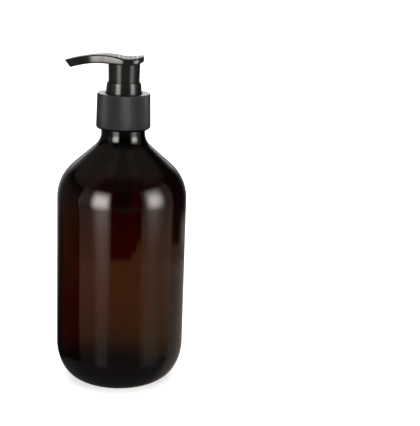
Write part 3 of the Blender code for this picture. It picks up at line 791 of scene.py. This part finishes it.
def channel_tool():
    tip = HEAD_STATIONS[0][0]
    past_tip = tip - CHANNEL_PAST_TIP
    steps, sides = 40, 24
    rings = []
    for i in range(steps + 1):
        x = past_tip * i / steps
        top, bottom = station_at(max(x, tip))[:2]
        root = min(1.0, -x / CHANNEL_ROOT)
        centre = CHANNEL_HEIGHT * (1 - root) + (top + bottom) / 2 * root
        points = []
        for k in range(sides):
            angle = math.tau * k / sides
            y = CHANNEL_HALF_WIDE * math.cos(angle)
            points.append((x, y, centre + CHANNEL_HALF_HIGH * math.sin(angle)))
        rings.append(points)
    return swept("channel_tool", rings)


# ---------------------------------------------------------------- dip tube and hidden pieces


def make_dip_tube(material):
    steps, sides = 40, 32
    top = TUBE_HIGH.z
    fall = TUBE_END - TUBE_BEND_START
    heights = [top] + [TUBE_BEND_START + fall * i / steps for i in range(steps + 1)]

    def rings_at(radius, order):
        rings = []
        for z in order:
            drop = max(0.0, TUBE_BEND_START - z) / (TUBE_BEND_START - TUBE_END)
            centre = TUBE_SWEEP * drop * drop
            cut = TUBE_CUT if z == heights[-1] else 0.0
            points = []
            for i in range(sides):
                angle = math.tau * i / sides
                offset = radius * math.cos(angle)
                height = z + cut * offset / TUBE_RADIUS
                points.append((centre + offset, radius * math.sin(angle), height))
            rings.append(points)
        return rings

    skins = rings_at(TUBE_RADIUS, heights) + rings_at(TUBE_RADIUS - TUBE_WALL, heights[::-1])
    item = swept("dip_tube_skin", skins, hollow=True)
    place(item, "pump", "tube_plastic", material, "dip_tube")


def spring_height(turn):
    """Height along the coil: one dead turn at each end, even pitch between."""
    bottom, top = SPRING_LOW.z + SPRING_WIRE, SPRING_HIGH.z - SPRING_WIRE
    live_pitch = (top - bottom - 2 * SPRING_DEAD_PITCH) / (SPRING_TURNS - 2)
    if turn <= 1:
        return bottom + SPRING_DEAD_PITCH * turn
    if turn >= SPRING_TURNS - 1:
        return top - SPRING_DEAD_PITCH * (SPRING_TURNS - turn)
    return bottom + SPRING_DEAD_PITCH + live_pitch * (turn - 1)


def make_spring(material):
    """The coil stands on the ball cage."""
    rings = []
    for i in range(SPRING_TURNS * SPRING_STEPS_PER_TURN + 1):
        angle = math.tau * i / SPRING_STEPS_PER_TURN
        z = spring_height(i / SPRING_STEPS_PER_TURN)
        points = []
        for k in range(SPRING_WIRE_SIDES):
            round_wire = math.tau * k / SPRING_WIRE_SIDES
            radius = SPRING_RADIUS + SPRING_WIRE * math.cos(round_wire)
            height = z + SPRING_WIRE * math.sin(round_wire)
            points.append((radius * math.cos(angle), radius * math.sin(angle), height))
        rings.append(points)
    item = swept("spring_coil", rings)
    place(item, "pump", "steel", material, "spring")
    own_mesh(item)


def finish_hidden_nodes(steel):
    """The pump's other inner pieces keep their CAD shape and take a detailed finish."""
    tones = (0.74, 0.74, 0.71), (0.82, 0.82, 0.79)
    natural = moulded("natural_pump_plastic", *tones, 0.38, 0.06, 900.0, 0.00003)
    tones = (0.78, 0.78, 0.77), (0.86, 0.86, 0.85)
    seal = moulded("soft_piston_plastic", *tones, 0.5, 0.06, 1200.0, 0.00002)
    tones = (0.68, 0.68, 0.64), (0.80, 0.80, 0.77)
    foam = moulded("gasket_foam", *tones, 0.72, 0.08, 2200.0, 0.00012)
    finishes = {
        "housing": natural,
        "ball_cage": natural,
        "stem": natural,
        "piston_rod": natural,
        "piston": seal,
        "neck_gasket": foam,
        "inlet_ball": steel,
    }
    for node, material in finishes.items():
        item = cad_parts[node]
        item.data.materials.clear()
        item.data.materials.append(material)


# ---------------------------------------------------------------- studio

CAMERA_PLACE = Vector((0.0, -0.6001, 0.2583))
CAMERA_PITCH = 0.2567
CAMERA_YAW = 0.0833
CAMERA_ROLL = 0.0169
CAMERA_LENS = 89.24
CAMERA_SENSOR = 36.0
FLOOR_HALF = 8.0
FLOOR_DROP = 0.0002
FLOOR_GLOW = 0.62
OVERHEAD_SIZE = 3.0
OVERHEAD_POWER = 46.0
OVERHEAD_HEIGHT = 2.2


def make_camera():
    """At the height and distance of a table-top picture, with the bottle left of the middle."""
    data = bpy.data.cameras.new("camera")
    data.lens = CAMERA_LENS
    data.sensor_width = CAMERA_SENSOR
    data.clip_start = 0.01
    data.clip_end = 100.0
    item = bpy.data.objects.new("camera", data)
    bpy.context.scene.collection.objects.link(item)
    tilt = Matrix.Rotation(math.pi / 2 - CAMERA_PITCH, 4, "X")
    pan = Matrix.Rotation(-CAMERA_YAW, 4, "Y")
    roll = Matrix.Rotation(CAMERA_ROLL, 4, "Z")
    item.matrix_world = Matrix.Translation(CAMERA_PLACE) @ tilt @ pan @ roll
    bpy.context.scene.camera = item


def make_floor():
    builder = bmesh.new()
    bmesh.ops.create_grid(builder, x_segments=8, y_segments=8, size=FLOOR_HALF)
    item = add_object("floor", builder)
    item.location.z = -FLOOR_DROP
    graph, shader, material = new_material("pale_floor")
    fleck = graph.noise(40.0, 3.0)
    pale = graph.mix_colour(fleck, (0.86, 0.86, 0.86), (0.88, 0.88, 0.88))
    graph.feed(shader.inputs["Base Color"], pale)
    graph.feed(shader.inputs["Roughness"], graph.ramp(fleck, 0.3, 0.7, 0.75, 0.85))
    shader.inputs["Emission Color"].default_value = (1.0, 1.0, 1.0, 1.0)
    shader.inputs["Emission Strength"].default_value = FLOOR_GLOW
    item.data.materials.append(material)
    item.visible_glossy = False


# Soft lights round the bottle, in degrees. Azimuth 0 is in front of the bottle and grows to the
# right. Each row: azimuth where the light starts, is full, fades and ends; the same for elevation;
# brightness in red, green and blue.
SOFT_LIGHTS = (
    # two soft boxes
    (-60.0, -44.0, -32.0, -17.0, -18.0, 6.0, 12.0, 38.0, (9.4, 9.0, 8.3)),
    (38.0, 57.0, 60.0, 86.0, -18.0, 8.0, 10.0, 40.0, (8.9, 8.5, 7.9)),
    # their dimmer surrounds
    (-80.0, -79.0, -20.0, -17.0, -24.0, -14.0, 26.0, 36.0, (0.19, 0.18, 0.18)),
    (-52.0, -38.0, -29.5, -17.0, -21.5, -15.0, 12.0, 36.0, (0.90, 0.73, 0.66)),
    (-80.0, -79.0, -50.0, -38.0, -8.0, 4.0, 14.0, 30.0, (0.20, 0.20, 0.18)),
    (33.0, 38.0, 98.0, 104.0, -24.0, -14.0, 28.0, 40.0, (0.25, 0.24, 0.23)),
    (42.0, 52.0, 58.0, 76.0, -20.0, -14.0, 12.0, 40.0, (0.30, 0.27, 0.24)),
    (-82.0, -80.0, -79.5, -77.5, -16.0, -2.0, 2.0, 10.0, (0.7, 0.7, 0.7)),
    # amber light that the bottle throws on the table in front of it
    (-80.0, -79.0, -20.0, -17.0, -23.5, -20.5, -13.0, -9.0, (0.17, 0.06, 0.0)),
    (-80.0, -79.0, -20.0, -17.0, -23.5, -20.5, -18.0, -14.5, (0.17, 0.08, 0.0)),
    (33.0, 37.0, 52.0, 70.0, -24.5, -20.5, -17.5, -14.0, (0.16, 0.02, 0.0)),
    (33.0, 37.0, 94.0, 112.0, -25.0, -21.0, -13.0, -9.0, (0.14, 0.08, 0.0)),
    (33.0, 37.0, 94.0, 112.0, -25.0, -21.0, -18.0, -14.5, (0.12, 0.06, 0.0)),
    (-20.0, -17.0, 33.0, 37.0, -23.5, -20.5, -17.40, -17.20, (0.36, 0.16, 0.0)),
    (16.0, 20.0, 33.0, 37.0, -17.40, -17.20, -17.00, -16.80, (0.36, 0.16, 0.0)),
    (25.0, 29.0, 33.0, 37.0, -17.00, -16.80, -16.50, -16.25, (0.36, 0.16, 0.0)),
    (-140.0, -112.0, -82.0, -80.0, -24.0, -21.0, -16.0, -12.0, (0.08, 0.01, 0.0)),
    (-140.0, -112.0, -82.0, -80.0, -19.5, -17.5, -16.0, -12.0, (0.02, 0.03, 0.0)),
    # faint light from the room, low at the sides and in front
    (-150.0, -140.0, -84.0, -80.0, -16.5, -12.0, 8.0, 24.0, (0.07, 0.06, 0.05)),
    (-20.0, -17.0, 33.0, 37.0, -13.5, -11.0, -4.0, 2.0, (0.06, 0.06, 0.055)),
    # the table, and the soft boxes' reflection in it
    (-80.0, -72.0, 181.0, 182.0, -91.0, -90.0, -17.40, -17.20, (0.09, 0.09, 0.09)),
    (16.0, 20.0, 33.0, 37.0, -17.40, -17.20, -17.00, -16.80, (0.09, 0.09, 0.09)),
    (25.0, 29.0, 33.0, 37.0, -17.00, -16.80, -16.50, -16.25, (0.09, 0.09, 0.09)),
    (-181.0, -180.0, -80.0, -72.0, -91.0, -90.0, -34.0, -27.0, (0.08, 0.08, 0.08)),
    (96.0, 106.0, 181.0, 182.0, -60.0, -34.0, -16.7, -16.1, (0.20, 0.16, 0.12)),
    (122.0, 140.0, 181.0, 182.0, -16.7, -16.1, -15.6, -14.0, (0.26, 0.23, 0.20)),
    (-50.0, -38.0, -28.0, -17.0, -44.0, -28.0, -22.0, -17.0, (0.22, 0.21, 0.20)),
    (36.0, 50.0, 62.0, 84.0, -46.0, -28.0, -22.0, -17.0, (0.18, 0.17, 0.16)),
    # the room's walls and ceiling
    (-181.0, -180.0, -74.0, -46.0, 22.0, 32.0, 90.0, 91.0, (0.10, 0.10, 0.09)),
    (46.0, 84.0, 181.0, 182.0, 34.0, 52.0, 90.0, 91.0, (0.08, 0.08, 0.07)),
    (-181.0, -180.0, 181.0, 182.0, 30.0, 44.0, 90.0, 91.0, (0.030, 0.030, 0.026)),
    (-181.0, -180.0, 181.0, 182.0, 62.0, 82.0, 90.0, 91.0, (0.08, 0.08, 0.07)),
    # the backdrop, seen in the bottle's rims
    (-181.0, -180.0, -156.0, -138.0, -22.0, -8.0, 30.0, 50.0, (0.34, 0.34, 0.34)),
    (140.0, 162.0, 181.0, 182.0, -22.0, -8.0, 30.0, 50.0, (0.20, 0.20, 0.20)),
    (-181.0, -180.0, -164.0, -150.0, 2.0, 9.0, 40.0, 60.0, (0.75, 0.75, 0.75)),
    (150.0, 164.0, 181.0, 182.0, 2.0, 9.0, 40.0, 60.0, (0.90, 0.90, 0.90)),
    (-182.0, -181.0, -174.0, -168.0, 2.0, 6.0, 14.0, 22.0, (2.2, 2.2, 2.2)),
    (168.0, 174.0, 181.0, 182.0, 2.0, 6.0, 14.0, 22.0, (2.2, 2.2, 2.2)),
)
SURROUND_GLOW = (0.012, 0.012, 0.012)


def make_world():
    """A studio seen in the bottle's gloss: soft boxes left and right, and a dark room in front."""
    world = bpy.data.worlds.new("studio")
    bpy.context.scene.world = world
    world.use_nodes = True
    graph = Graph(world.node_tree)
    direction = graph.node("ShaderNodeTexCoord").outputs["Generated"]
    x, y, z = graph.split(direction)
    turn = graph.maths("ARCTAN2", x, graph.maths("MULTIPLY", y, -1.0))
    azimuth = graph.maths("DEGREES", turn)
    elevation = graph.maths("DEGREES", graph.maths("ARCSINE", z))
    glow = SURROUND_GLOW
    for row in SOFT_LIGHTS:
        across = graph.between(azimuth, *row[:4])
        upright = graph.between(elevation, *row[4:8])
        patch = graph.maths("MULTIPLY", across, upright)
        glow = graph.add_scaled(patch, row[8], glow)
    seen = graph.node("ShaderNodeLightPath").outputs["Is Camera Ray"]
    plain = graph.maths("SUBTRACT", 1.0, seen)
    background = world.node_tree.nodes["Background"]
    graph.feed(background.inputs["Color"], graph.add_scaled(glow, plain, seen))
    background.inputs["Strength"].default_value = 1.0


def make_overhead():
    """A wide, dim panel overhead that evens out the floor and the matt plastic."""
    data = bpy.data.lights.new("overhead", "AREA")
    data.shape = "DISK"
    data.size = OVERHEAD_SIZE
    data.energy = OVERHEAD_POWER
    item = bpy.data.objects.new("overhead", data)
    bpy.context.scene.collection.objects.link(item)
    item.location = (0.0, 0.0, OVERHEAD_HEIGHT)
    item.visible_glossy = False


def make_studio():
    make_camera()
    make_floor()
    make_world()
    make_overhead()
    scene = bpy.context.scene
    scene.view_settings.view_transform = "Standard"
    scene.view_settings.look = "None"


# ---------------------------------------------------------------- build

make_studio()
# Two tones, roughness and its spread, and the grain's scale and depth
gloss_black = (0.0058, 0.0066, 0.0064), (0.0098, 0.0108, 0.0104), 0.14, 0.03, 1400.0, 0.00002
black = moulded("black_pump_plastic", *gloss_black)
black_head = moulded("black_head_plastic", *gloss_black, soft_top=0.30)
make_bottle()
make_collar()
make_chaplet(black)
make_head(black_head)
make_dip_tube(tube_material())
steel = steel_material()
make_spring(steel)
finish_hidden_nodes(steel)
